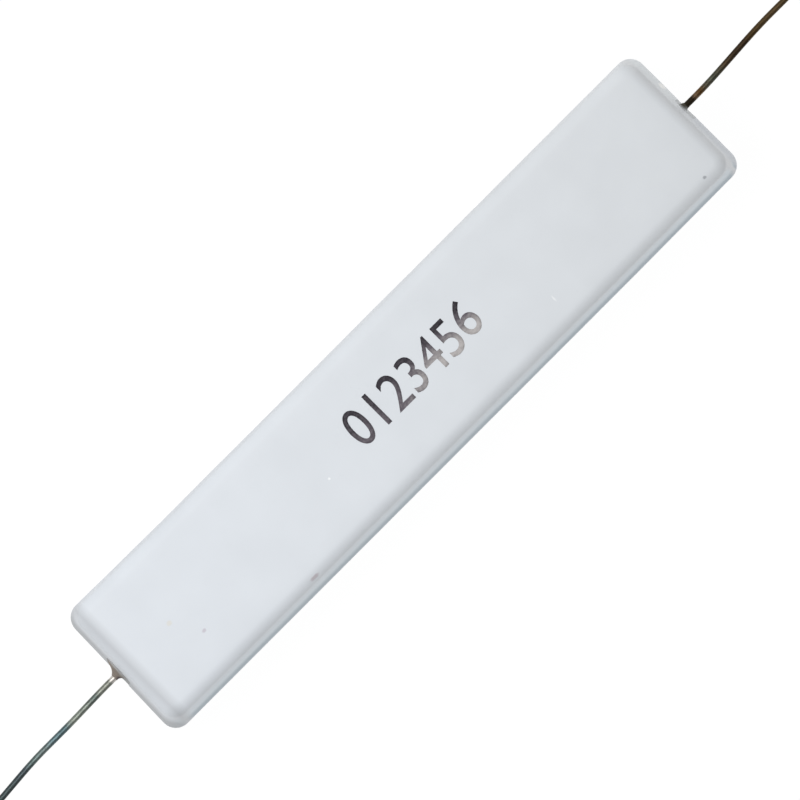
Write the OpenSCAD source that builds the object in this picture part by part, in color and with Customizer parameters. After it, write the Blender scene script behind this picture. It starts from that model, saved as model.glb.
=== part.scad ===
// Axial wirewound power resistor: a wound ceramic rod, potted with cement in a white ceramic case.
// X runs along the leads and Z points up through the closed face of the case. The open side of the
// case, where the cement shows, lies on Z = 0, and the origin is the middle of that side.
// All lengths are in millimetres and all angles in degrees.

/* [Case] */
// Length of the case at its open rim
body_l = 62.5; // [58:0.5:80]
// Width of the case at its open rim
body_w = 12.5; // [11.6:0.1:16]
// Height of the case, from its rim to the closed face
body_h = 11.5; // [10.8:0.1:15]
// Taper of the long walls, from upright
side_draft = 2.5; // [0.5:0.1:3.5]
// Taper of the end walls, from upright
end_draft = 3.5; // [0.5:0.1:5]
// Rounding of the edges of the closed face
edge_r = 1; // [0.5:0.1:1.4]
// Rounding of the upright corners
corner_r = 1.3; // [0.6:0.1:2]
// Thickness of the long walls
side_wall = 1.4; // [1:0.1:1.7]
// Thickness of the end walls
end_wall = 2.2; // [1.4:0.1:3]
// Thickness of the closed face
roof_wall = 1.6; // [1:0.1:2]
// Rounding inside the trough
trough_r = 0.8; // [0.4:0.1:1.2]
// Upright land round the open rim, where the taper starts
rim_land = 0.4; // [0.2:0.1:1]
// Width of the slot that lets a lead out through an end wall
slot_w = 2; // [1.2:0.1:3]

/* [Cement] */
// How far the cement stays below the rim of the open side
cement_recess = 0.3; // [0.1:0.1:0.8]
// Radius, on the end wall, of the bead of cement that crept out along the left lead
left_bead_r = 1.2; // [0.8:0.05:1.6]
// Radius of that bead where it ends round the lead
left_bead_tip_r = 0.55; // [0.55:0.05:0.7]
// How far that bead reaches past the rim
left_bead_out = 0.45; // [0.2:0.05:0.8]
// How far that bead sits to one side of the lead
left_bead_shift = 0.2; // [0:0.05:0.2]
// Radius of the small bead round the right lead, on the end wall
right_bead_r = 0.6; // [0.5:0.05:0.9]
// Radius of that bead where it ends round the lead
right_bead_tip_r = 0.36; // [0.36:0.02:0.48]
// How far that bead reaches past the rim
right_bead_out = 0.1; // [0.05:0.05:0.4]
// Radius of the hollow flank of both beads
bead_hollow_r = 1.4; // [1:0.1:3]

/* [Wound element] */
// Resistance of the winding, in ohms
resistance = 10; // [2:1:14]
// Resistivity of the wire, in ohm square millimetres per metre
resistivity = 1.09; // [0.9:0.01:1.4]
// Diameter of the resistance wire
wire_d = 0.35; // [0.28:0.01:0.4]
// Diameter of the ceramic core
core_d = 5.5; // [4.5:0.1:6]
// Room between each end of the core and the end wall, filled with cement
end_room = 5.05; // [4:0.05:7]
// Chamfer on the ends of the core
core_chamfer = 0.3; // [0.1:0.05:0.5]
// Length of an end cap, over its closed end
cap_l = 5; // [4:0.5:7]
// Sheet thickness of an end cap
cap_wall = 0.3; // [0.2:0.05:0.4]
// Outer rounding of an end cap where the sheet is drawn over
cap_bend = 0.4; // [0.2:0.05:0.6]
// How far the winding runs up onto each cap, to where it is welded
weld_run = 1.2; // [0.8:0.1:2]
// Height of the element's axis over the open rim
element_h = 5; // [4.4:0.1:5.6]
// How far the element was potted to one side of the middle
element_y = 0.12; // [0:0.02:0.3]

/* [Leads] */
// Diameter of the lead wire
lead_d = 0.5; // [0.4:0.05:1]
// Length of each lead outside the case, along the wire
lead_l = 35; // [28:1:45]
// Straight stretch between the rim and the first bend
lead_exit = 1; // [0.8:0.1:4]
// Stretch that holds the bends, after which a lead is straight again
bent_l = 16; // [15:0.5:20]
// Diameter of the weld that joins a lead to its cap
weld_d = 1.4; // [1.1:0.1:2]
// Height of that weld
weld_h = 0.6; // [0.3:0.1:1]

/* [Fits] */
// Gap between a cap and the core that it is pressed on
cap_fit = 0.02; // [0.01:0.01:0.05]
// Gap between the winding and what it lies on
wire_fit = 0.02; // [0.01:0.01:0.05]
// Gap between the cement and the pieces potted in it
cement_fit = 0.03; // [0.01:0.01:0.06]

/* [Hidden] */

// Bends of each lead, as the wire was left by hand: where a bend starts past the straight exit,
// how long it is and how far it steps to the left, seen along the lead's way out
right_bends = [[0, 8.7, 0.39]];
left_bends = [[0, 5, 0.1], [7, 8, 0.45]];

// Points round one turn of the winding, and round the wire itself
turn_steps = 12;
wire_sides = 6;
// Rings along the bent stretch of a lead, and points round each
bend_rings = 32;
bend_sides = 16;
// The bent stretch is a hair slimmer than the straight ones, so that its flat ends lie within theirs
bend_share = 0.998;
// Segments of the shapes that a hull wraps, of the wires and of everything else
hull_fn = 32;
lead_fn = 24;
$fn = 64;
// What a cut runs past the surface that it goes through
past = 1;

// Core, as long as the trough at its rim leaves room for
core_l = body_l - 2 * (end_wall + end_room);

// End caps: radius outside, and where their closed ends and open rims are along X
core_r = core_d / 2;
cap_r = core_r + cap_fit + cap_wall;
cap_end_x = core_l / 2 + cap_wall;
cap_rim_x = cap_end_x - cap_l;

// Winding: its turns follow from the resistance, its pitch from the length that it covers
wire_area = PI * pow(wire_d / 2, 2);
wire_l = 1000 * resistance * wire_area / resistivity;
turns = wire_l / (PI * (core_d + wire_d));
winding_x = cap_rim_x + weld_run;
winding_steps = round(turns * turn_steps);
// The wire is a chain of chords, so its points lie a little outside the circle that they clear
chord_share = cos(180 / turn_steps);
core_level = (core_r + wire_fit + wire_d / 2) / chord_share;
cap_level = (cap_r + wire_fit + wire_d / 2) / chord_share;
climb_end_x = cap_rim_x - wire_d;
climb_l = wire_d;

// Bores that the cement leaves for the winding, a cap and a lead
winding_bore_x = winding_x + wire_d / 2 + cement_fit;
winding_bore_r = cap_level + wire_d / 2 + cement_fit;
cap_bore_r = cap_r + cement_fit;
lead_bore_r = lead_d / 2 + cement_fit;

// Block with tapered walls and rounded edges, standing on Z = 0: l and w are its size at the foot,
// top_r rounds its top edges and upright_r its upright corners at the foot.
// The top corners are placed so that the tapered walls run into their rounding.
module tapered_block(l, w, h, top_r, upright_r) {
    top_z = h - top_r;
    top_x = l / 2 - (top_z - rim_land) * tan(end_draft) - top_r / cos(end_draft);
    top_y = w / 2 - (top_z - rim_land) * tan(side_draft) - top_r / cos(side_draft);
    hull() for (x = [-1, 1], y = [-1, 1]) {
        translate([x * (l / 2 - upright_r), y * (w / 2 - upright_r), 0])
            cylinder(h = rim_land, r = upright_r, $fn = hull_fn);
        translate([x * top_x, y * top_y, top_z]) rotate_extrude($fn = hull_fn)
            intersection() {
                circle(top_r, $fn = hull_fn);
                square(top_r);
            }
    }
}

module case_block() {
    tapered_block(body_l, body_w, body_h, edge_r, corner_r);
}

module trough() {
    tapered_block(body_l - 2 * end_wall, body_w - 2 * side_wall, body_h - roof_wall,
                  trough_r, trough_r);
}

// Slots in both end walls, open at the rim and round at the height of the leads
module lead_slots() {
    for (side = [-1, 1])
        translate([side * (body_l / 2 - end_wall / 2), 0, 0]) rotate([90, 0, 90])
            linear_extrude(height = 2 * (end_wall + past), center = true) {
                translate([0, element_h]) circle(d = slot_w);
                translate([-slot_w / 2, 0]) square([slot_w, element_h]);
            }
}

// Puts its children on the axis of the wound element, with their Z axis along X
module on_element_axis(x = 0) {
    translate([x, element_y, element_h]) rotate([0, 90, 0]) children();
}

module ceramic_case() {
    color([0.87, 0.89, 0.91]) difference() {
        case_block();
        trough();
        lead_slots();
    }
}

// Cement in the two slots, flush with the end walls
module slot_plugs() {
    intersection() {
        case_block();
        lead_slots();
    }
}

// Bead of cement round a lead, at the right end: a low cone with a hollow flank on the end wall
module exit_bead(r, tip_r, out, shift) {
    wall_x = body_l / 2 - (element_h - rim_land) * tan(end_draft);
    h = out + body_l / 2 - wall_x;
    flank = norm([r - tip_r, h]);
    hollow = sqrt(pow(bead_hollow_r, 2) - pow(flank / 2, 2)) / flank;
    difference() {
        translate([wall_x, element_y + shift, element_h]) rotate([0, 90, 0])
            rotate_extrude() difference() {
                polygon([[0, -end_wall / 2], [r, -end_wall / 2], [r, 0], [tip_r, h], [0, h]]);
                translate([(r + tip_r) / 2 + hollow * h, h / 2 + hollow * (r - tip_r)])
                    circle(bead_hollow_r);
            }
        difference() {
            case_block();
            lead_slots();
        }
    }
}

module element_bores() {
    on_element_axis(-winding_bore_x)
        cylinder(h = 2 * winding_bore_x, r = winding_bore_r);
    on_element_axis(-cap_end_x - cement_fit)
        cylinder(h = 2 * (cap_end_x + cement_fit), r = cap_bore_r);
    for (side = [0, 1]) mirror([side, 0, 0]) on_element_axis(cap_end_x)
        cylinder(h = weld_h + cement_fit, r = weld_d / 2 + cement_fit);
    on_element_axis(-body_l / 2 - lead_exit)
        cylinder(h = body_l + 2 * lead_exit, r = lead_bore_r, $fn = lead_fn);
}

module cement_fill() {
    color([0.74, 0.72, 0.69]) difference() {
        union() {
            trough();
            slot_plugs();
            mirror([1, 0, 0])
                exit_bead(left_bead_r, left_bead_tip_r, left_bead_out, left_bead_shift);
            exit_bead(right_bead_r, right_bead_tip_r, right_bead_out, 0);
        }
        element_bores();
        translate([0, 0, cement_recess - past])
            cube([body_l + 2 * past, body_w, 2 * past], center = true);
    }
}

module ceramic_core() {
    color([0.9, 0.88, 0.84]) on_element_axis() rotate_extrude() polygon([
        [0, -core_l / 2], [core_r - core_chamfer, -core_l / 2],
        [core_r, core_chamfer - core_l / 2], [core_r, core_l / 2 - core_chamfer],
        [core_r - core_chamfer, core_l / 2], [0, core_l / 2]
    ]);
}

// Rises from 0 to 1 with no corner at either end, and its slope
function smooth(t) = let (u = min(1, max(0, t))) u * u * (3 - 2 * u);
function smooth_slope(t) = let (u = min(1, max(0, t))) 6 * u * (1 - u);

// Radius of the wire's middle at x along the core: it lies on the core, and climbs onto the caps
// just before their rims
function wire_level(x) =
    core_level + (cap_level - core_level) * smooth((abs(x) - climb_end_x + climb_l) / climb_l);

// Points of the wire's section at one step of the helix
function wire_ring(i) =
    let (turn = i * 360 / turn_steps,
         x = winding_x * (2 * i / winding_steps - 1),
         level = wire_level(x))
    [for (j = [0:wire_sides - 1])
        let (a = j * 360 / wire_sides, out = level + wire_d / 2 * cos(a))
        [x + wire_d / 2 * sin(a), out * cos(turn), out * sin(turn)]];

// Closed tube through a list of rings, each a list of as many points, which run anticlockwise
// seen from behind
module tube(rings) {
    n = len(rings[0]);
    last = len(rings) - 1;
    sides = [for (i = [0:last - 1], j = [0:n - 1])
        let (here = i * n, ahead = here + n, k = (j + 1) % n)
        [here + j, here + k, ahead + k, ahead + j]];
    first_end = [for (j = [n - 1:-1:0]) j];
    last_end = [for (j = [0:n - 1]) last * n + j];
    polyhedron(points = [for (ring = rings) each ring], faces = concat(sides, [first_end, last_end]));
}

module resistance_wire() {
    color([0.55, 0.52, 0.5]) translate([0, element_y, element_h])
        tube([for (i = [0:winding_steps]) wire_ring(i)]);
}

// Cup drawn from sheet, with its open rim towards the middle of the core
module end_cap() {
    on_element_axis(cap_rim_x) rotate_extrude() difference() {
        union() {
            square([cap_r - cap_bend, cap_l]);
            square([cap_r, cap_l - cap_bend]);
            translate([cap_r - cap_bend, cap_l - cap_bend]) circle(cap_bend);
        }
        translate([0, -past]) square([core_r + cap_fit, cap_l - cap_wall + past]);
    }
}

module end_cap_left() {
    color([0.72, 0.72, 0.7]) mirror([1, 0, 0]) end_cap();
}

module end_cap_right() {
    color([0.72, 0.72, 0.7]) end_cap();
}

// Side step of a bent lead at x past its exit, and the tangent of its direction there
function side_step(bends, x, i = 0) =
    i == len(bends) ? 0 :
    bends[i][2] * smooth((x - bends[i][0]) / bends[i][1]) + side_step(bends, x, i + 1);
function side_slope(bends, x, i = 0) =
    i == len(bends) ? 0 :
    bends[i][2] / bends[i][1] * smooth_slope((x - bends[i][0]) / bends[i][1])
        + side_slope(bends, x, i + 1);

function lead_ring(bends, x) =
    let (y = side_step(bends, x), turn = atan(side_slope(bends, x)), r = bend_share * lead_d / 2)
    [for (j = [0:bend_sides - 1])
        let (a = j * 360 / bend_sides)
        [x - r * cos(a) * sin(turn), y + r * cos(a) * cos(turn), -r * sin(a)]];

module bent_wire(bends) {
    tube([for (i = [0:bend_rings]) lead_ring(bends, bent_l * i / bend_rings)]);
}

module straight_wire(l) {
    rotate([0, 90, 0]) cylinder(h = l, d = lead_d, $fn = lead_fn);
}

// Lead along +X from the closed end of its cap, with the weld that joins the two
module lead(bends) {
    exit_l = body_l / 2 - cap_end_x + lead_exit;
    rotate([0, 90, 0]) cylinder(h = weld_h, d1 = weld_d, d2 = lead_d);
    straight_wire(exit_l);
    translate([exit_l, 0, 0]) bent_wire(bends);
    translate([exit_l + bent_l, side_step(bends, bent_l), 0])
        straight_wire(lead_l - lead_exit - bent_l);
}

module lead_left() {
    color([0.5, 0.53, 0.51]) translate([-cap_end_x, element_y, element_h]) rotate(180)
        lead(left_bends);
}

module lead_right() {
    color([0.36, 0.3, 0.25]) translate([cap_end_x, element_y, element_h]) lead(right_bends);
}

ceramic_case();
cement_fill();
ceramic_core();
resistance_wire();
end_cap_left();
end_cap_right();
lead_left();
lead_right();
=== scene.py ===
import math

import bmesh
import bpy
from mathutils import Matrix, Vector


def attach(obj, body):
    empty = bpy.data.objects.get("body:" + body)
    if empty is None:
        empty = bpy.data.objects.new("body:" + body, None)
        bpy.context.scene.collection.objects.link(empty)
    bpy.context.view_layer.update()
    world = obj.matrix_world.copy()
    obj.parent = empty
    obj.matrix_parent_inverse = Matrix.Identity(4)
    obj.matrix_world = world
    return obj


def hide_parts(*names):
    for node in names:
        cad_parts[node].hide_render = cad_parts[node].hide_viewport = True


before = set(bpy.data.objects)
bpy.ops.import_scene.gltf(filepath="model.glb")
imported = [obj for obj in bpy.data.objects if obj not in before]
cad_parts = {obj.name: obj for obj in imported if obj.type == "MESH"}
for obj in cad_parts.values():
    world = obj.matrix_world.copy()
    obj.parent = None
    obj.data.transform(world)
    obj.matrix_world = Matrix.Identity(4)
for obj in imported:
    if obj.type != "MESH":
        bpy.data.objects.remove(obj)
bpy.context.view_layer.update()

# Camera: it looks down on the printed face from far off, turned so that the case lies across the
# picture's diagonal, and leans a little so that the long wall at the lower right shows. Lengths
# are in metres, and a number of millimetres is multiplied by MM.
MM = 0.001
lens, sensor_w = 1500.0, 36.0
frame_width = 62.32 * MM
aim = Vector((-0.61, -0.215, 0.0)) * MM
lean = math.radians(1.3)
turn = math.radians(-45.03)

bpy.ops.object.camera_add(location=(0, 0, 0))
camera = bpy.context.object
camera.name = "camera"
camera.data.lens = lens
camera.data.sensor_width = sensor_w
distance = frame_width * lens / sensor_w
look = Matrix.Rotation(lean, 3, "X") @ Matrix.Rotation(turn, 3, "Z")
camera.rotation_euler = look.to_euler()
camera.location = aim + look @ Vector((0, 0, distance))
camera.data.clip_start = 0.01
camera.data.clip_end = 20.0
bpy.context.scene.camera = camera
bpy.context.scene.view_settings.view_transform = "Standard"


# Table and light: a white acrylic table, lit from below as product tables are, so that it stays
# white up to the object. A small softbox hangs low over the left half, a little behind, and a
# pale room, brighter behind, gives the rest.
def linear(code):
    """Turns an sRGB hex value into the linear colour that the shaders take."""
    parts = [int(code[i:i + 2], 16) / 255 for i in (1, 3, 5)]
    return [c / 12.92 if c <= 0.04045 else ((c + 0.055) / 1.055) ** 2.4 for c in parts] + [1.0]


def add(tree, kind, inputs=None, **settings):
    """Adds a shader node. An input given a socket is linked to it, and any other is set."""
    node = tree.nodes.new("ShaderNode" + kind)
    for name, value in settings.items():
        setattr(node, name, value)
    for key, value in (inputs or {}).items():
        if isinstance(value, bpy.types.NodeSocket):
            tree.links.new(value, node.inputs[key])
        else:
            node.inputs[key].default_value = value
    return node


def new_material(name):
    """Gives an empty material, its node tree, and its output node."""
    material = bpy.data.materials.new(name)
    material.use_nodes = True
    material.node_tree.nodes.clear()
    return material, material.node_tree, add(material.node_tree, "OutputMaterial")


table_l, table_gap = 3.0, 0.02 * MM
bpy.ops.object.select_all(action="DESELECT")
bpy.ops.mesh.primitive_plane_add(size=table_l, location=(0, 0, -table_gap))
table = bpy.context.object
table.name = "table"
bpy.ops.object.transform_apply(location=True, rotation=True, scale=True)
table_white, tree, output = new_material("lit_acrylic_table")
table_shader = add(tree, "BsdfPrincipled", {
    "Base Color": linear("#404040"), "Roughness": 0.9, "Specular IOR Level": 0.0,
    "Emission Color": linear("#FFFFFF"), "Emission Strength": 0.97})
tree.links.new(table_shader.outputs[0], output.inputs["Surface"])
table.data.materials.append(table_white)

world = bpy.data.worlds.new("white_room")
bpy.context.scene.world = world
world.use_nodes = True
tree = world.node_tree

# The room is as bright as its middle value, and more by the slope towards the back and the right
room_middle, room_slope = 0.455, (0.03, 0.14, 0.0)
behind = add(tree, "VectorMath", {0: add(tree, "TexCoord").outputs["Generated"], 1: room_slope},
             operation="DOT_PRODUCT")
room = add(tree, "Math", {0: behind.outputs["Value"], 1: room_middle}, operation="ADD")
tree.links.new(room.outputs[0], tree.nodes["Background"].inputs["Color"])
tree.nodes["Background"].inputs["Strength"].default_value = 1.0

softbox_at, softbox_l, softbox_w = (-0.04, 0.042, 0.18), 0.12, 0.08
softbox_power = 0.198
bpy.ops.object.light_add(type="AREA", location=softbox_at)
softbox = bpy.context.object
softbox.name = "softbox"
softbox.data.shape = "RECTANGLE"
softbox.data.size = softbox_l
softbox.data.size_y = softbox_w
softbox.data.energy = softbox_power
softbox.rotation_euler = (Vector((0, 0, 0)) - softbox.location).to_track_quat("-Z", "Y").to_euler()


# Case: a trough of white fired ceramic, pressed in a die, so its walls taper towards the closed
# face and every edge is rounded. The open side is down, and a slot in each end lets a lead out.
body_l, body_w, body_h = 62.5 * MM, 12.5 * MM, 11.5 * MM
side_draft, end_draft = math.radians(2.5), math.radians(3.5)
rim_land = 0.4 * MM
side_wall, end_wall, roof_wall = 1.4 * MM, 2.2 * MM, 1.6 * MM
slot_w, slot_top = 2.0 * MM, 6.0 * MM
corner_r, edge_r, rim_bevel, trough_r = 1.3 * MM, 1.0 * MM, 0.12 * MM, 0.8 * MM
case_step = 0.8 * MM
cutter_foot, cutter_end = -1 * MM, 33 * MM
near = 0.01 * MM
crease = math.radians(35)


def pick(piece, kind, test):
    """In edit mode, selects the vertices, edges or faces that pass the test, and no others."""
    bpy.ops.mesh.select_mode(type=kind)
    bpy.ops.mesh.select_all(action="DESELECT")
    mesh = bmesh.from_edit_mesh(piece.data)
    for part in {"VERT": mesh.verts, "EDGE": mesh.edges, "FACE": mesh.faces}[kind]:
        part.select_set(bool(test(part)))
    mesh.select_flush_mode()
    bmesh.update_edit_mesh(piece.data)


def cut_up(piece, axis, places):
    """In edit mode, cuts new edge loops through the whole piece at the places along an axis."""
    normal = [0, 0, 0]
    normal[axis] = 1
    for place in places:
        bpy.ops.mesh.select_all(action="SELECT")
        spot = [0, 0, 0]
        spot[axis] = place
        bpy.ops.mesh.bisect(plane_co=spot, plane_no=normal)


def tapered_block(name, l, w, bottom, top, upright_r, top_r, steps):
    """Adds a block with an upright land at its foot and tapered, rounded walls above it."""
    bpy.ops.object.select_all(action="DESELECT")
    bpy.ops.mesh.primitive_cube_add(
        size=1, location=(0, 0, (bottom + top) / 2), scale=(l, w, top - bottom))
    block = bpy.context.object
    block.name = name
    bpy.ops.object.transform_apply(location=True, rotation=True, scale=True)
    bpy.ops.object.mode_set(mode="EDIT")
    cut_up(block, 2, [rim_land])
    pick(block, "FACE", lambda f: f.normal.z > 0.9)
    rise = top - rim_land
    bpy.ops.transform.resize(
        value=(1 - 2 * rise * math.tan(end_draft) / l, 1 - 2 * rise * math.tan(side_draft) / w, 1),
        center_override=(0, 0, top))
    pick(block, "EDGE", lambda e: abs(e.verts[0].co.z - e.verts[1].co.z) > 0.1 * MM)
    bpy.ops.mesh.bevel(offset=upright_r, segments=steps)
    pick(block, "EDGE", lambda e: all(v.co.z > top - near for v in e.verts)
         and any(f.normal.z < 0.5 for f in e.link_faces))
    # On a wall that leans inwards, a rounding starts a little less far out than its radius.
    lean_share = 0.96
    bpy.ops.mesh.bevel(offset=top_r * lean_share, segments=steps)
    bpy.ops.object.mode_set(mode="OBJECT")
    return block


def slot_bar(name, bottom, half_l, top_half_l, gap):
    """Adds a bar with a round top that fills both slots and runs from end to end."""
    w, h = slot_w - 2 * gap, slot_top - gap - bottom
    bpy.ops.object.select_all(action="DESELECT")
    bpy.ops.mesh.primitive_cube_add(
        size=1, location=(0, 0, bottom + h / 2), scale=(2 * half_l, w, h))
    bar = bpy.context.object
    bar.name = name
    bpy.ops.object.transform_apply(location=True, rotation=True, scale=True)
    bpy.ops.object.mode_set(mode="EDIT")
    pick(bar, "FACE", lambda f: f.normal.z > 0.9)
    bpy.ops.transform.resize(value=(top_half_l / half_l, 1, 1), center_override=(0, 0, 0))
    pick(bar, "EDGE", lambda e: all(v.co.z > bottom + h / 2 for v in e.verts)
         and abs(e.verts[0].co.x - e.verts[1].co.x) > half_l)
    # The two rounded edges stop just short of each other.
    rounding = 0.499 * w
    bpy.ops.mesh.bevel(offset=rounding, segments=12)
    bpy.ops.object.mode_set(mode="OBJECT")
    return bar


def use_cutter(piece, cutter, operation):
    """Cuts a piece with another, or joins the two, and removes the other."""
    bpy.ops.object.select_all(action="DESELECT")
    bpy.context.view_layer.objects.active = piece
    piece.select_set(True)
    bpy.ops.object.modifier_add(type="BOOLEAN")
    modifier = piece.modifiers[-1]
    modifier.operation = operation
    modifier.solver = "EXACT"
    modifier.object = cutter
    bpy.ops.object.modifier_apply(modifier=modifier.name)
    bpy.data.objects.remove(cutter)


def roughen(piece, group_test, size, depth):
    """Gives part of a piece the unevenness of its making: lumps of a size, of a depth each way."""
    bpy.ops.object.select_all(action="DESELECT")
    bpy.context.view_layer.objects.active = piece
    piece.select_set(True)
    piece.vertex_groups.new(name="uneven")
    bpy.ops.object.mode_set(mode="EDIT")
    pick(piece, "VERT", group_test)
    bpy.ops.object.vertex_group_assign()
    bpy.ops.object.mode_set(mode="OBJECT")
    lumps = bpy.data.textures.new(piece.name + "_lumps", "CLOUDS")
    lumps.noise_scale = size
    lumps.noise_depth = 1
    bpy.ops.object.modifier_add(type="DISPLACE")
    modifier = piece.modifiers[-1]
    modifier.texture = lumps
    modifier.texture_coords = "LOCAL"
    modifier.strength = 2 * depth
    modifier.mid_level = 0.5
    modifier.vertex_group = "uneven"
    bpy.ops.object.modifier_apply(modifier=modifier.name)
    piece.vertex_groups.clear()


case = tapered_block("moulded_case", body_l, body_w, bottom=0, top=body_h, upright_r=corner_r,
                     top_r=edge_r, steps=8)
bpy.ops.object.mode_set(mode="EDIT")
pick(case, "EDGE", lambda e: all(v.co.z < near for v in e.verts))
bpy.ops.mesh.bevel(offset=rim_bevel, segments=2)
cut_up(case, 0, [x * case_step for x in range(-38, 39)])
cut_up(case, 1, [y * case_step for y in range(-7, 8)])
cut_up(case, 2, [z * case_step for z in range(1, 14)])

# Firing warped the block a little: its left end stands out of square, the corner there at +Y
# stands out, and the wall at -Y is full up to near its right end. Each is a size and the share of
# the half length where it starts or stops. Shear needs a window, so the points are moved in code.
out_of_square, corner_out, belly = 0.028, 0.1 * MM, 0.05 * MM
skew_from, corner_from, belly_to, belly_fade = 0.7, 0.65, 0.9, 0.3
mesh = bmesh.from_edit_mesh(case.data)
for v in mesh.verts:
    along, aside = v.co.x / (body_l / 2), v.co.y / (body_w / 2)
    v.co.x += v.co.y * out_of_square * max(0.0, (-along - skew_from) / (1 - skew_from))
    if aside > 0:
        v.co.y += aside * corner_out * max(0.0, (-along - corner_from) / (1 - corner_from))
    else:
        v.co.y += aside * belly * min(1.0, max(0.0, (belly_to - along) / belly_fade))
bmesh.update_edit_mesh(case.data)
bpy.ops.object.mode_set(mode="OBJECT")
above_rim = 0.3 * MM
roughen(case, lambda v: v.co.z > above_rim, size=5 * MM, depth=0.02 * MM)
trough = tapered_block("trough_cutter", body_l - 2 * end_wall, body_w - 2 * side_wall,
                       bottom=cutter_foot, top=body_h - roof_wall, upright_r=trough_r,
                       top_r=trough_r, steps=4)
use_cutter(case, trough, "DIFFERENCE")
slot_room = slot_bar("slot_cutter", cutter_foot, half_l=cutter_end, top_half_l=cutter_end,
                     gap=0)
use_cutter(case, slot_room, "DIFFERENCE")
bpy.ops.object.shade_smooth_by_angle(angle=crease)

# Fired alumina porcelain, pressed from powder and left unglazed: white with a cold tinge, matt,
# with a faint cloudiness and the marks of handling. Its colour also carries painted light and
# shade: a falloff along the face, and shading on the walls and rounded ends. Its grain is drawn
# coarser than the real one, which is too fine to show.
ceramic, tree, output = new_material("matt_fired_ceramic")
place = add(tree, "TexCoord")
cloud = add(tree, "TexNoise", {"Vector": place.outputs["Object"], "Scale": 1 / (4 * MM),
                               "Detail": 2.0, "Roughness": 0.5})
where = add(tree, "SeparateXYZ", {"Vector": place.outputs["Object"]})
# Painted light: the face runs from a cooler white at the left end to a warmer, greyer white at the
# right, standing in for the fall of the light along the case.
rightward = add(tree, "MapRange", {"Value": where.outputs["X"], "From Min": -32 * MM,
                                   "From Max": 32 * MM})
painted_falloff = add(tree, "ValToRGB", {"Fac": rightward.outputs["Result"]})
for stop, (far, code) in enumerate(((0.1, "#DADFE5"), (0.9, "#DBDFE3"))):
    painted_falloff.color_ramp.elements[stop].position = far
    painted_falloff.color_ramp.elements[stop].color = linear(code)
cloudy = add(tree, "MapRange", {"Value": cloud.outputs["Fac"], "From Min": 0.3, "From Max": 0.7,
                                "To Min": 0.975, "To Max": 1.01})
colour = add(tree, "VectorMath", {0: painted_falloff.outputs["Color"], "Scale": cloudy.outputs["Result"]},
             operation="SCALE").outputs["Vector"]

# Painted light and shade on the walls and the rounded ends. Each is a colour and its limits: along
# an axis, it is whole at the first place and gone at the second, in millimetres.
for code, limits in (
        # Painted light and shade on the long wall at -Y, which faces away from the light: a cooler
        # white over its middle height, painted reflected light, and a dark blue-grey towards its
        # open rim, painted contact shade
        ("#D8E1E8", (("Y", -5.85, -5.6), ("Z", 8.5, 11.0), ("Z", 4.0, 2.0))),
        ("#A7B6C0", (("Y", -5.85, -4.9), ("Z", 3.0, 6.4), ("Z", 1.2, -0.4))),
        # Painted shade: the left end darker towards its open rim, and the rounded edges of the
        # left and right ends, which turn away from the light
        ("#B2B6BA", (("X", -30.8, -29.6), ("Z", 4.0, 9.0))),
        ("#C5C9CE", (("X", -29.95, -29.15), ("X", -30.0, -30.6))),
        ("#DADDE0", (("X", 30.4, 29.9), ("X", 30.5, 30.7))),
        # The right end: painted light on its +Y half, which faces the light, and painted shade,
        # greyer, on the other
        ("#E1E6E9", (("X", 30.9, 30.6), ("Y", 1.5, 0.0))),
        ("#CDD2D8", (("X", 30.9, 30.6), ("Y", -1.5, 0.0)))):
    painted_shading = 1.0
    for axis, whole, none in limits:
        limit = add(tree, "MapRange", {
            "Value": where.outputs[axis], "From Min": whole * MM, "From Max": none * MM,
            "To Min": 1.0, "To Max": 0.0})
        painted_shading = add(tree, "Math", {0: painted_shading, 1: limit.outputs["Result"]},
                   operation="MULTIPLY").outputs[0]
    blend = add(tree, "Mix", {"Factor": painted_shading, 6: colour, 7: linear(code)}, data_type="RGBA")
    colour = blend.outputs[2]

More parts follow.
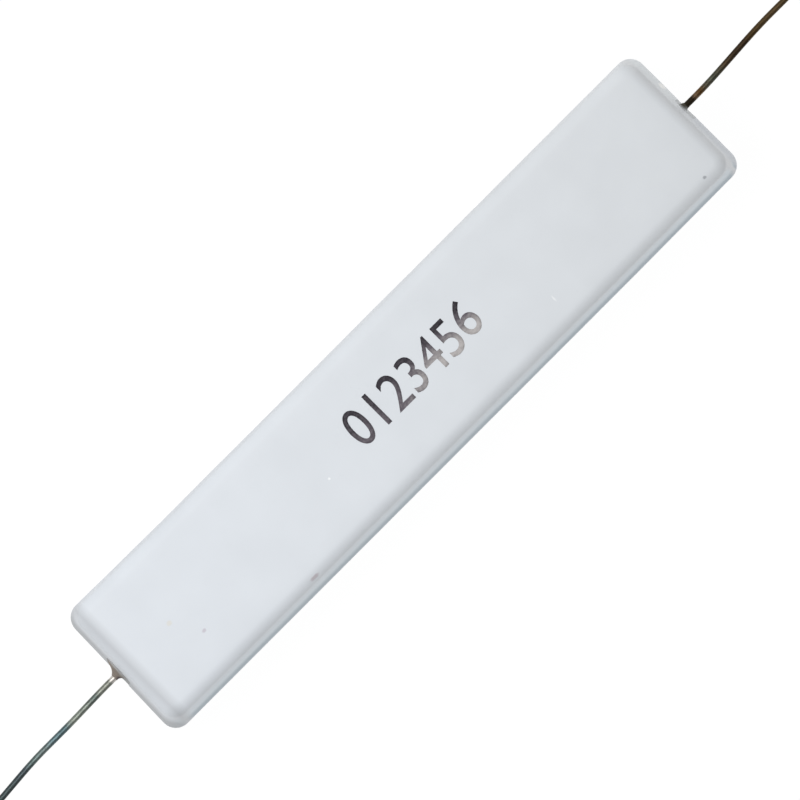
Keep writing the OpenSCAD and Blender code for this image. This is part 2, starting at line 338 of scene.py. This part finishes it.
# Marks that handling left on the closed face, and last a white smear of cement on the lower part
# of the right end: middle and radii along X, Y and Z in millimetres, colour and strength
ragged = add(tree, "TexNoise", {"Vector": place.outputs["Object"], "Scale": 1 / (0.25 * MM),
                                "Detail": 2.0})
shake = add(tree, "VectorMath", {0: ragged.outputs["Color"], 1: (0.5, 0.5, 0.5)},
            operation="SUBTRACT")
shake = add(tree, "VectorMath", {0: shake.outputs["Vector"], "Scale": 0.12 * MM},
            operation="SCALE")
shaken = add(tree, "VectorMath", {0: place.outputs["Object"], 1: shake.outputs["Vector"]},
             operation="ADD")
for x, y, z, radius_x, radius_y, radius_z, code, strength in (
        (28.31, -5.0, 11.5, 0.15, 0.13, 1.5, "#9A9EA3", 0.8),
        (-24.0, -2.36, 11.5, 0.19, 0.16, 1.5, "#C2BCC6", 0.8),
        (-25.5, -0.06, 11.5, 0.24, 0.2, 1.5, "#D9D6CC", 0.6),
        (-15.0, -5.5, 11.2, 0.45, 0.16, 1.5, "#A58E94", 0.5),
        (-8.8, -0.9, 11.5, 0.1, 0.1, 1.5, "#F6F8FA", 0.8),
        (13.4, -3.36, 11.5, 0.07, 0.3, 1.5, "#F2F4F6", 0.6),
        (31.1, 2.55, 3.6, 0.5, 0.34, 3.2, "#FAFAF8", 0.9)):
    scaled = add(tree, "Mapping", {
        "Vector": shaken.outputs["Vector"],
        "Location": (-x / radius_x, -y / radius_y, -z / radius_z),
        "Scale": (1 / (radius_x * MM), 1 / (radius_y * MM), 1 / (radius_z * MM))})
    away = add(tree, "VectorMath", {0: scaled.outputs["Vector"]}, operation="LENGTH")
    mask = add(tree, "MapRange", {"Value": away.outputs["Value"], "From Min": 0.5, "From Max": 1.3,
                                  "To Min": strength, "To Max": 0.0},
               interpolation_type="SMOOTHSTEP")
    blend = add(tree, "Mix", {"Factor": mask.outputs["Result"], 6: colour, 7: linear(code)},
                data_type="RGBA")
    colour = blend.outputs[2]

grit = add(tree, "TexNoise", {"Vector": place.outputs["Object"], "Scale": 1 / (0.16 * MM),
                              "Detail": 3.0})
bump = add(tree, "Bump", {"Height": grit.outputs["Fac"], "Strength": 0.25, "Distance": 0.01 * MM})
shader = add(tree, "BsdfPrincipled", {
    "Base Color": colour, "Roughness": 0.55, "Specular IOR Level": 0.4,
    "Normal": bump.outputs["Normal"]})
tree.links.new(shader.outputs[0], output.inputs["Surface"])
case.data.materials.clear()
case.data.materials.append(ceramic)
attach(case, "root")
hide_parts("ceramic_case")


# Print: one row of plain figures, stamped in black-purple ink on the closed face. The stamp
# pressed less towards the right, so the ink there is brown-grey and thin in the lower halves.
print_middle, print_l, print_h = (1.53 * MM, 0.30 * MM), 13.5 * MM, 3.1 * MM
ink_t, ink_gap = 0.012 * MM, 0.004 * MM
last_w, last_up = 1.8 * MM, 0.2 * MM
print_step, above_face = 0.4 * MM, 0.5 * MM
bpy.ops.object.select_all(action="DESELECT")
bpy.ops.object.text_add(location=(0, 0, 0))
figures = bpy.context.object
figures.name = "stamped_figures"
figures.data.body = "0123456"
figures.data.offset = 0.001
figures.data.resolution_u = 12
bpy.ops.object.convert(target="MESH")
corners = [v.co.copy() for v in figures.data.vertices]
low_x, high_x = min(c.x for c in corners), max(c.x for c in corners)
low_y, high_y = min(c.y for c in corners), max(c.y for c in corners)
figures.scale = (print_l / (high_x - low_x), print_h / (high_y - low_y), 1)
figures.location = (print_middle[0] - figures.scale.x * (low_x + high_x) / 2,
                    print_middle[1] - figures.scale.y * (low_y + high_y) / 2, body_h + above_face)
bpy.ops.object.transform_apply(location=True, rotation=True, scale=True)
bpy.ops.object.mode_set(mode="EDIT")
bpy.ops.mesh.select_all(action="SELECT")
bpy.ops.mesh.remove_doubles(threshold=0.001 * MM)

# The last figure stands a little higher than the row
last_from = print_middle[0] + print_l / 2 - last_w
pick(figures, "VERT", lambda v: v.co.x > last_from)
bpy.ops.transform.translate(value=(0, last_up, 0))
cut_up(figures, 0, [print_middle[0] + x * print_step for x in range(-20, 21)])
cut_up(figures, 1, [print_middle[1] + y * print_step for y in range(-5, 6)])
bpy.ops.object.mode_set(mode="OBJECT")
bpy.ops.object.modifier_add(type="SHRINKWRAP")
wrap = figures.modifiers[-1]
wrap.target = case
wrap.wrap_method = "PROJECT"
wrap.use_project_z = True
wrap.use_negative_direction = True
wrap.use_positive_direction = False
wrap.offset = ink_gap
bpy.ops.object.modifier_apply(modifier=wrap.name)
bpy.ops.object.modifier_add(type="SOLIDIFY")
thicken = figures.modifiers[-1]
thicken.thickness = ink_t
thicken.offset = 1.0
bpy.ops.object.modifier_apply(modifier=thicken.name)

# Stamping ink, dried matt on unglazed ceramic: nearly black where it lies thick, brown-grey and
# broken by the grain of the ceramic where it lies thin
ink, tree, output = new_material("dried_stamping_ink")
place = add(tree, "TexCoord")
where = add(tree, "SeparateXYZ", {"Vector": place.outputs["Object"]})
rightward = add(tree, "MapRange", {"Value": where.outputs["X"], "From Min": -1.0 * MM,
                                   "From Max": 3.5 * MM, "To Min": 0.3, "To Max": 1.0})
downward = add(tree, "MapRange", {"Value": where.outputs["Y"], "From Min": 1.5 * MM,
                                  "From Max": -0.6 * MM})
thin = add(tree, "Math", {0: rightward.outputs["Result"], 1: downward.outputs["Result"]},
           operation="MULTIPLY")
patchy = add(tree, "TexNoise", {"Vector": place.outputs["Object"], "Scale": 1 / (0.25 * MM),
                                "Detail": 3.0})
patch = add(tree, "MapRange", {"Value": patchy.outputs["Fac"], "From Min": 0.35, "From Max": 0.65,
                               "To Min": -0.1, "To Max": 0.1})
worn = add(tree, "Math", {0: thin.outputs[0], 1: patch.outputs["Result"]}, operation="ADD")
tint = add(tree, "ValToRGB", {"Fac": worn.outputs[0]})
tint.color_ramp.elements[0].position = 0.0
tint.color_ramp.elements[0].color = linear("#302C33")
tint.color_ramp.elements[1].position = 1.0
tint.color_ramp.elements[1].color = linear("#B5B1B0")
half_thin = tint.color_ramp.elements.new(0.35)
half_thin.color = linear("#645E65")
shader = add(tree, "BsdfPrincipled", {"Base Color": tint.outputs["Color"], "Roughness": 0.7,
                                      "Specular IOR Level": 0.3})
tree.links.new(shader.outputs[0], output.inputs["Surface"])
figures.data.materials.clear()
figures.data.materials.append(ink)
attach(figures, "root")


# Cement: pale grey silicate cement, poured in round the element and cured, with its grainy
# surface a little below the rim. It fills both slots, and crept out along both leads in beads.
element_y, element_h = 0.12 * MM, 5.0 * MM
fill_level, fill_step = 0.3 * MM, 0.5 * MM
fit = 0.01 * MM
winding_room_r, winding_room_end = 3.585 * MM, 20.705 * MM

# Radius and length of the rooms beyond the winding's: for a cap, for its weld, and for the lead
end_rooms = ((3.10 * MM, 3.625 * MM), (0.73 * MM, 0.63 * MM), (0.28 * MM, 8.0 * MM))


def element_cutter(name):
    """Adds the winding, caps, welds and leads with a hair of room, to be cut from the cement."""
    bpy.ops.object.select_all(action="DESELECT")
    bpy.ops.mesh.primitive_cylinder_add(
        vertices=48, radius=winding_room_r, depth=2 * winding_room_end,
        location=(0, element_y, element_h), rotation=(0, math.pi / 2, 0))
    cutter = bpy.context.object
    cutter.name = name
    bpy.ops.object.transform_apply(location=True, rotation=True, scale=True)
    bpy.ops.object.mode_set(mode="EDIT")
    for side in (-1, 1):
        radius = winding_room_r
        for smaller, out in end_rooms:
            end = max(v.co.x * side for v in bmesh.from_edit_mesh(cutter.data).verts)
            pick(cutter, "FACE", lambda f: f.normal.x * side > 0.9
                 and abs(f.calc_center_median().y - element_y) < near
                 and abs(f.calc_center_median().x * side - end) < 0.1 * near)
            bpy.ops.mesh.inset(thickness=radius - smaller)
            bpy.ops.mesh.extrude_region_move(
                TRANSFORM_OT_translate={"value": (side * out, 0, 0)})
            radius = smaller
    bpy.ops.object.mode_set(mode="OBJECT")
    return cutter


cement = tapered_block("cured_cement", body_l - 2 * end_wall - 2 * fit,
                       body_w - 2 * side_wall - 2 * fit, bottom=fill_level,
                       top=body_h - roof_wall - fit, upright_r=trough_r, top_r=trough_r, steps=4)
wall_at_foot = body_l / 2
wall_at_slot_top = body_l / 2 - (slot_top - rim_land) * math.tan(end_draft)
plugs = slot_bar("slot_plugs", fill_level, half_l=wall_at_foot, top_half_l=wall_at_slot_top,
                 gap=fit)
use_cutter(cement, plugs, "UNION")
use_cutter(cement, element_cutter("element_room"), "DIFFERENCE")
bpy.ops.object.mode_set(mode="EDIT")
cut_up(cement, 0, [x * fill_step for x in range(-62, 63)])
cut_up(cement, 1, [y * fill_step for y in range(-9, 10)])
bpy.ops.object.mode_set(mode="OBJECT")
roughen(cement, lambda v: v.co.z < fill_level + near, size=0.9 * MM, depth=0.08 * MM)

# A bead is wide on the end wall and narrows in rings, with a hollow flank, to its tip on the lead.
# It starts off to one side of the lead and ends in line with it.
wall_x = body_l / 2 - (element_h - rim_land) * math.tan(end_draft)
bead_root, rings = 0.15 * MM, 8
for name, side, bead_r, tip_r, out, shift in (
        ("left_bead", -1, 1.16 * MM, 0.29 * MM, 0.62 * MM, 0.32 * MM),
        ("right_bead", 1, 0.46 * MM, 0.28 * MM, 0.34 * MM, 0.06 * MM)):
    bpy.ops.object.select_all(action="DESELECT")
    bpy.ops.mesh.primitive_circle_add(
        vertices=48, radius=bead_r, fill_type="NGON", rotation=(0, side * math.pi / 2, 0),
        location=(side * (wall_x - bead_root), element_y + shift, element_h))
    bead = bpy.context.object
    bead.name = name
    bpy.ops.object.transform_apply(location=True, rotation=True, scale=True)
    bpy.ops.object.mode_set(mode="EDIT")
    pick(bead, "FACE", lambda f: True)
    bpy.ops.mesh.extrude_region_move(
        TRANSFORM_OT_translate={"value": (side * bead_root, 0, 0)})
    radius = bead_r
    for i in range(1, rings + 1):
        thinner = tip_r + (bead_r - tip_r) * (1 - i / rings) ** 2
        bpy.ops.mesh.extrude_region_move(
            TRANSFORM_OT_translate={"value": (side * out / rings, -shift / rings, 0)})
        bpy.ops.transform.resize(
            value=(1, thinner / radius, thinner / radius),
            center_override=(side * (wall_x + out * i / rings),
                             element_y + shift * (1 - i / rings), element_h))
        radius = thinner
    bpy.ops.mesh.select_all(action="SELECT")
    bpy.ops.mesh.normals_make_consistent(inside=False)
    bpy.ops.object.mode_set(mode="OBJECT")
    roughen(bead, lambda v: abs(v.co.x) > wall_x + near, size=0.5 * MM, depth=0.05 * MM)
    bpy.ops.object.select_all(action="DESELECT")
    bead.select_set(True)
    cement.select_set(True)
    bpy.context.view_layer.objects.active = cement
    bpy.ops.object.join()
bpy.ops.object.shade_smooth_by_angle(angle=crease)

# Cured silicate cement: pale grey and mottled, matt and gritty. The plug in the left slot is
# painted darker towards the bottom, painted shade as on the end wall round it. Round the lead
# roots the
# beads are darker: brown-grey round the left lead and darker on its -Y side, and a dark ring round
# the right lead, painted shade of a hollow there.
root_mark_x = 31.2 * MM
cement_finish, tree, output = new_material("cured_silicate_cement")
place = add(tree, "TexCoord")
grain = add(tree, "TexNoise", {"Vector": place.outputs["Object"], "Scale": 1 / (0.5 * MM),
                               "Detail": 4.0})
tint = add(tree, "ValToRGB", {"Fac": grain.outputs["Fac"]})
tint.color_ramp.elements[0].position = 0.3
tint.color_ramp.elements[0].color = linear("#C6C9CB")
tint.color_ramp.elements[1].position = 0.7
tint.color_ramp.elements[1].color = linear("#D8DBDD")
where = add(tree, "SeparateXYZ", {"Vector": place.outputs["Object"]})
# Painted shade: the plug in the left slot is darker towards the bottom, as the left end is.
at_left = add(tree, "MapRange", {"Value": where.outputs["X"], "From Min": -30.8 * MM,
                                 "From Max": -29.6 * MM, "To Min": 1.0, "To Max": 0.0})
low_down = add(tree, "MapRange", {"Value": where.outputs["Z"], "From Min": 4.0 * MM,
                                  "From Max": 9.0 * MM, "To Min": 1.0, "To Max": 0.0})
painted_shade_left = add(tree, "Math", {0: at_left.outputs["Result"], 1: low_down.outputs["Result"]},
            operation="MULTIPLY")
colour = add(tree, "Mix", {"Factor": painted_shade_left.outputs[0], 6: tint.outputs["Color"],
                           7: linear("#A9ABAC")}, data_type="RGBA").outputs[2]
# Darker places round the lead roots: a brown-grey patch reaching to +Y of the left lead, darker on
# its -Y side, and a dark ring round the right lead, painted shade of a hollow at its root.
for side, aside, reach_out, code in (
        (-1, 0.4, 1.35, "#8B8178"), (-1, -0.25, 0.45, "#5A5051"), (1, 0.1, 0.5, "#5C584D")):
    away = add(tree, "VectorMath", {
        0: place.outputs["Object"], 1: (side * root_mark_x, element_y + aside * MM, element_h)},
        operation="DISTANCE")
    root_darkening = add(tree, "MapRange", {
        "Value": away.outputs["Value"], "From Min": 0.6 * reach_out * MM,
        "From Max": reach_out * MM, "To Min": 1.0, "To Max": 0.0})
    blend = add(tree, "Mix", {"Factor": root_darkening.outputs["Result"], 6: colour, 7: linear(code)},
                data_type="RGBA")
    colour = blend.outputs[2]

# Air bubbles that rose while the cement was poured left small round pits in its open surface
bubble = add(tree, "TexVoronoi", {"Vector": place.outputs["Object"], "Scale": 1 / (1.0 * MM)})
chance = add(tree, "SeparateXYZ", {"Vector": bubble.outputs["Color"]})
bubble_r = add(tree, "MapRange", {"Value": chance.outputs["X"], "To Min": -0.3, "To Max": 0.2})
inside = add(tree, "Math", {0: bubble_r.outputs["Result"], 1: bubble.outputs["Distance"]},
             operation="SUBTRACT")
pit = add(tree, "MapRange", {"Value": inside.outputs[0], "From Min": -0.03, "From Max": 0.06})
open_side = add(tree, "MapRange", {"Value": where.outputs["Z"], "From Min": 0.6 * MM,
                                   "From Max": 1.0 * MM, "To Min": 1.0, "To Max": 0.0})
pit = add(tree, "Math", {0: pit.outputs["Result"], 1: open_side.outputs["Result"]},
          operation="MULTIPLY")
# Each pit is painted darker as well as sunk in the bump: painted shade in the hollow.
blend = add(tree, "Mix", {"Factor": pit.outputs[0], 6: colour, 7: linear("#A3A4A4")},
            data_type="RGBA")
colour = blend.outputs[2]
grit = add(tree, "TexNoise", {"Vector": place.outputs["Object"], "Scale": 1 / (0.15 * MM),
                              "Detail": 2.0})
height = add(tree, "Math", {0: grit.outputs["Fac"], 1: pit.outputs[0]}, operation="SUBTRACT")
bump = add(tree, "Bump", {"Height": height.outputs[0], "Strength": 0.6, "Distance": 0.1 * MM})
shader = add(tree, "BsdfPrincipled", {"Base Color": colour, "Roughness": 0.9,
                                      "Specular IOR Level": 0.3,
                                      "Normal": bump.outputs["Normal"]})
tree.links.new(shader.outputs[0], output.inputs["Surface"])
cement.data.materials.clear()
cement.data.materials.append(cement_finish)
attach(cement, "root")
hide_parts("cement_fill")


# Leads: soft copper wire, drawn and dip-tinned, welded to the caps before potting and bent a
# little in handling. The right one is stained brown, and the left one is duller, grey and green.
cap_end, exit_past_rim, lead_r = 24.3 * MM, 1.0 * MM, 0.25 * MM
lead_past_rim, bent_l, bent_steps, straight_step = 35.0 * MM, 16.0 * MM, 40, 3 * MM
weld_r, neck_r, weld_l = 0.7 * MM, 0.42 * MM, 0.6 * MM
cut_l, cut_pinch = 0.15 * MM, (1, 0.92, 0.5)


def smooth(t):
    """Rises from 0 to 1 with no corner at either end."""
    t = min(1, max(0, t))
    return t * t * (3 - 2 * t)


def tinned_lead(name, side, bends):
    """Adds a lead from its weld to its cut end, with bends in the plane of the closed face.

    A bend is its start past the exit, its length and its step aside, in millimetres.
    """
    bpy.ops.object.select_all(action="DESELECT")
    bpy.ops.mesh.primitive_circle_add(
        vertices=20, radius=weld_r, fill_type="NGON",
        location=(side * cap_end, element_y, element_h), rotation=(0, side * math.pi / 2, 0))
    lead = bpy.context.object
    lead.name = name
    bpy.ops.object.transform_apply(location=True, rotation=True, scale=True)
    exit_x = body_l / 2 + exit_past_rim
    stops = [cap_end, cap_end + weld_l / 2, cap_end + weld_l, exit_x]
    stops += [exit_x + bent_l * i / bent_steps for i in range(1, bent_steps + 1)]
    stops += [exit_x + bent_l + i * straight_step for i in range(1, 6)]
    stops += [body_l / 2 + lead_past_rim - cut_l, body_l / 2 + lead_past_rim]
    radii = {1: neck_r, 2: lead_r}

    def stepped(x):
        """Tells how far aside the bends have brought the lead by x."""
        past = x - exit_x
        return side * sum(b[2] * MM * smooth((past - b[0] * MM) / (b[1] * MM)) for b in bends)

    bpy.ops.object.mode_set(mode="EDIT")
    pick(lead, "FACE", lambda f: True)
    radius = weld_r
    for i in range(1, len(stops)):
        step = (side * (stops[i] - stops[i - 1]), stepped(stops[i]) - stepped(stops[i - 1]), 0)
        bpy.ops.mesh.extrude_region_move(TRANSFORM_OT_translate={"value": step})
        if i in radii:
            bpy.ops.transform.resize(
                value=(1, radii[i] / radius, radii[i] / radius),
                center_override=(side * stops[i], element_y, element_h))
            radius = radii[i]
    bpy.ops.transform.resize(
        value=cut_pinch,
        center_override=(side * stops[-1], element_y + stepped(stops[-1]), element_h))
    bpy.ops.mesh.select_all(action="SELECT")
    bpy.ops.mesh.normals_make_consistent(inside=False)
    bpy.ops.object.mode_set(mode="OBJECT")
    bpy.ops.object.shade_smooth_by_angle(angle=crease)
    return lead


right_lead = tinned_lead("right_lead_wire", 1, [(0, 8.7, 0.39)])
left_lead = tinned_lead("left_lead_wire", -1, [(0, 5, 0.1), (7, 8, 0.45)])

# Tin gone dull over copper: each lead's tone changes along its length, as far out from the rim as
# the list says, in millimetres. A few stops near the roots are painted glints and painted shade.
# The streaks that drawing left along the wire are drawn coarser than the real ones, which are too
# fine to show.
toned_l = 16 * MM
tones = {
    # Painted shade and highlight: the near-black stops at 0.2 and 0.8 mm are painted shade at the
    # root of the right lead, and the golden stops at 1.1 and 1.6 mm are a painted glint.
    "right": ((0.2, "#3A3428"), (0.8, "#33291F"), (1.1, "#705C48"), (1.6, "#624728"),
              (2.2, "#5C5648"), (3.0, "#54564A"), (4.5, "#463A2C"), (6.8, "#3C3024"),
              (7.4, "#4E3F28"), (10.0, "#5A4A34"), (12.0, "#54452F")),
    # Painted highlight: the pale stops at 0.4 and 0.65 mm are a painted glint on the tin at the
    # root of the left lead.
    "left": ((0.2, "#8C857C"), (0.4, "#DAD5CF"), (0.65, "#C9C4BE"), (0.85, "#80827A"),
             (1.8, "#868980"), (2.5, "#606A66"), (3.2, "#787F78"), (5.0, "#878D84"),
             (5.8, "#586B6E"), (7.2, "#5F7276"), (8.0, "#6D7877"), (9.5, "#5F6D6B"),
             (10.3, "#4D565A"), (12.0, "#485152"))}
for lead, name, side, key in ((right_lead, "stained_tinned_wire", 1, "right"),
                              (left_lead, "dull_tinned_wire", -1, "left")):
    finish, tree, output = new_material(name)
    place = add(tree, "TexCoord")
    where = add(tree, "SeparateXYZ", {"Vector": place.outputs["Object"]})
    out_from_rim = add(tree, "MapRange", {
        "Value": where.outputs["X"], "From Min": side * body_l / 2,
        "From Max": side * (body_l / 2 + toned_l)})
    tone = add(tree, "ValToRGB", {"Fac": out_from_rim.outputs["Result"]})
    ramp = tone.color_ramp.elements
    while len(ramp) < len(tones[key]):
        ramp.new(0.5)
    for i, (far, code) in enumerate(tones[key]):
        ramp[i].position = far * MM / toned_l
        ramp[i].color = linear(code)
    stretch = add(tree, "Mapping", {"Vector": place.outputs["Object"], "Scale": (0.3, 1, 1)})
    streak = add(tree, "TexNoise", {"Vector": stretch.outputs[0], "Scale": 1 / (0.2 * MM),
                                    "Detail": 3.0})
    light = add(tree, "MapRange", {"Value": streak.outputs["Fac"], "From Min": 0.3,
                                   "From Max": 0.7, "To Min": 0.7, "To Max": 1.3})
    shade = add(tree, "VectorMath", {0: tone.outputs["Color"], "Scale": light.outputs["Result"]},
                operation="SCALE")
    bump = add(tree, "Bump", {"Height": streak.outputs["Fac"], "Strength": 0.3,
                              "Distance": 0.02 * MM})
    shader = add(tree, "BsdfPrincipled", {
        "Base Color": shade.outputs["Vector"], "Metallic": 1.0, "Roughness": 0.5,
        "Normal": bump.outputs["Normal"]})
    tree.links.new(shader.outputs[0], output.inputs["Surface"])
    lead.data.materials.clear()
    lead.data.materials.append(finish)
    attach(lead, "root")
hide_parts("lead_right")
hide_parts("lead_left")


# Element inside the cement: a fired ceramic rod wound with nickel-chromium wire, and a drawn,
# tinned steel cap on each end. These are the frame's own solids, with their finishes.
for node, name, dark, light, metallic, roughness, size in (
        ("ceramic_core", "unglazed_rod_ceramic", "#D9D2C4", "#ECE6DA", 0.0, 0.7, 0.6),
        ("resistance_wire", "nickel_chromium_wire", "#6F6B66", "#9A958E", 1.0, 0.35, 0.3),
        ("end_cap_left", "tinned_steel_left", "#A5A6A2", "#C9C9C4", 1.0, 0.3, 0.8),
        ("end_cap_right", "tinned_steel_right", "#A5A6A2", "#C9C9C4", 1.0, 0.3, 0.8)):
    finish, tree, output = new_material(name)
    place = add(tree, "TexCoord")
    cloud = add(tree, "TexNoise", {"Vector": place.outputs["Object"], "Scale": 1 / (size * MM),
                                   "Detail": 3.0})
    tint = add(tree, "ValToRGB", {"Fac": cloud.outputs["Fac"]})
    tint.color_ramp.elements[0].position = 0.35
    tint.color_ramp.elements[0].color = linear(dark)
    tint.color_ramp.elements[1].position = 0.65
    tint.color_ramp.elements[1].color = linear(light)
    shader = add(tree, "BsdfPrincipled", {
        "Base Color": tint.outputs["Color"], "Metallic": metallic, "Roughness": roughness})
    tree.links.new(shader.outputs[0], output.inputs["Surface"])
    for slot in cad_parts[node].material_slots:
        slot.material = finish
